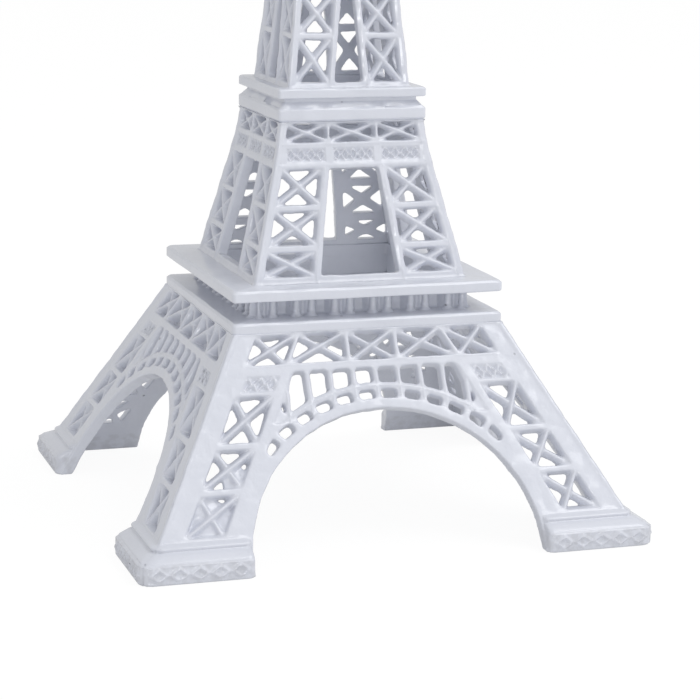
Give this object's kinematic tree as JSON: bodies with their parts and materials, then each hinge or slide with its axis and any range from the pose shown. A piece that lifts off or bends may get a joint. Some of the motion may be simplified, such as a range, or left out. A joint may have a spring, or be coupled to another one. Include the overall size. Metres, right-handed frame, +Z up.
{
  "type": "miniature landmark model",
  "caption": "Desk-size model of a tapering lattice tower on four splayed arched legs, cast in metal and covered in gloss white enamel.",
  "frame": {"origin": "centre of the footprint, on the surface that the tower stands on", "axes": "+Z up along the tower's axis; -Y out of the front face; +X to the right of it"},
  "size_m": [0.1, 0.1, 0.25],
  "materials": {
    "enamel": "gloss white enamel over zinc alloy"
  },
  "bodies": {
    "root": {"lower_panel_front": "enamel", "lower_panel_right": "enamel", "lower_panel_back": "enamel", "lower_panel_left": "enamel", "first_ledge": "enamel", "first_gallery": "enamel", "first_deck": "enamel", "middle_panel_front": "enamel", "middle_panel_right": "enamel", "middle_panel_back": "enamel", "middle_panel_left": "enamel", "second_cornice": "enamel", "second_deck": "enamel", "upper_panel_front": "enamel", "upper_panel_right": "enamel", "upper_panel_back": "enamel", "upper_panel_left": "enamel", "third_platform": "enamel", "lantern": "enamel", "cupola": "enamel", "mast": "enamel"}
  },
  "joints": []
}
